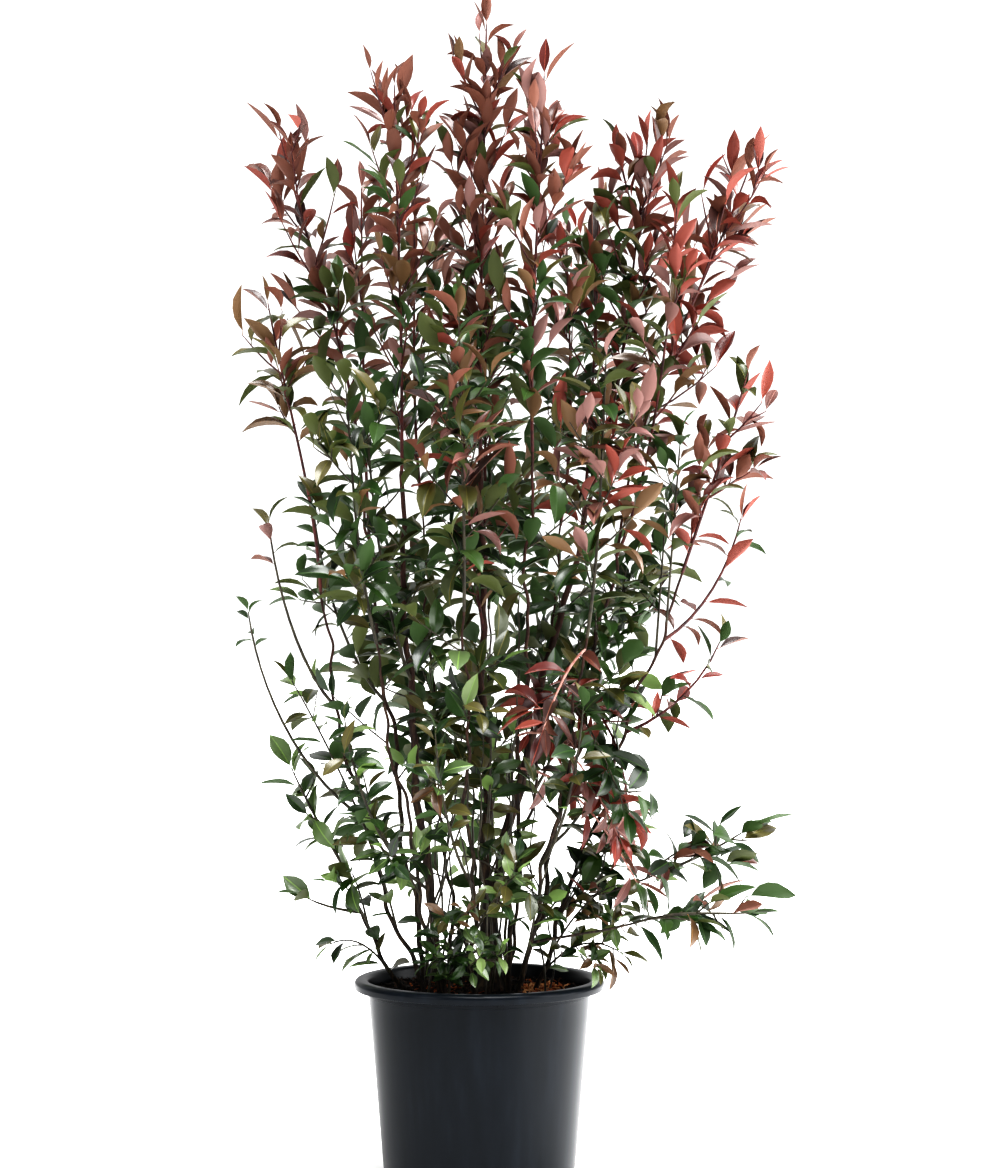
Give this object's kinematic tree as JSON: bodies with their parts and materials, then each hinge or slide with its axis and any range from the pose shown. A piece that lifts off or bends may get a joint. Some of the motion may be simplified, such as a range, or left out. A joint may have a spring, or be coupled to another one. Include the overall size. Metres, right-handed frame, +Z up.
{
  "type": "potted red-tipped photinia",
  "caption": "Upright evergreen shrub with many woody stems and red-tipped leaves, growing in a round tapered nursery pot.",
  "frame": {"origin": "middle of the pot's flat underside", "axes": "+Z up, +X to the right and +Y away from the side that is seen in the picture"},
  "size_m": [0.9403, 0.8174, 1.8989],
  "materials": {
    "pot_plastic": "moulded black nursery-pot plastic, satin",
    "potting_mix": "loose fibrous potting mix with bark chips",
    "bark": "thin furrowed grey-brown bark, redder on young wood",
    "foliage_bronze": "glossy young leaves, bronze red",
    "foliage_red": "glossy young leaves, brick red",
    "foliage_olive": "leathery leaves, olive between bronze and green",
    "foliage_green": "leathery mature leaves, dark glossy green",
    "foliage_light_green": "soft young leaves, light green"
  },
  "bodies": {
    "root": {"pot": "pot_plastic", "potting_mix": "potting_mix", "trunk": "bark", "fork_bough": "bark", "dark_stem": "bark", "left_stem": "bark", "left_outer_stem": "bark", "left_low_stem": "bark", "right_stem": "bark", "right_outer_stem": "bark", "centre_right_stem": "bark", "back_left_stem": "bark", "back_right_stem": "bark", "back_stem": "bark", "front_stem": "bark", "front_right_stem": "bark", "front_left_stem": "bark", "low_right_bough": "bark", "low_front_right_bough": "bark", "foliage_crown_top": "foliage_bronze", "foliage_centre_front": "foliage_bronze", "foliage_centre_back": "foliage_bronze", "foliage_centre_low": "foliage_green", "foliage_right_leader": "foliage_red", "foliage_right_back_leader": "foliage_red", "foliage_right_middle": "foliage_green", "foliage_hanging_red": "foliage_red", "foliage_left_centre_leader": "foliage_bronze", "foliage_left_front_middle": "foliage_olive", "foliage_left_front_low": "foliage_green", "foliage_far_left_leader": "foliage_bronze", "foliage_left_back_leader": "foliage_bronze", "foliage_left_back_middle": "foliage_green", "foliage_left_back_low": "foliage_green", "foliage_far_left_shoulder": "foliage_bronze", "foliage_left_middle": "foliage_olive", "foliage_left_lone_twig": "foliage_light_green", "foliage_low_left_twig": "foliage_light_green", "foliage_low_left_front": "foliage_light_green", "foliage_right_top_leader": "foliage_red", "foliage_right_front_leader": "foliage_red", "foliage_right_back_low": "foliage_green", "foliage_right_shoulder": "foliage_red", "foliage_right_elbow": "foliage_red", "foliage_right_low": "foliage_red", "foliage_low_right_twig": "foliage_green", "foliage_low_front_right_twig": "foliage_green", "foliage_centre_right_leader": "foliage_bronze", "foliage_back_left_leader": "foliage_bronze", "foliage_back_left_middle": "foliage_green", "foliage_back_right_leader": "foliage_bronze", "foliage_back_right_middle": "foliage_green", "foliage_back_leader": "foliage_olive", "foliage_back_low": "foliage_green", "foliage_front_leader": "foliage_olive", "foliage_front_low": "foliage_green", "foliage_front_right_leader": "foliage_olive", "foliage_front_right_low": "foliage_green", "foliage_front_left_leader": "foliage_olive", "foliage_front_left_low": "foliage_green"}
  },
  "joints": []
}
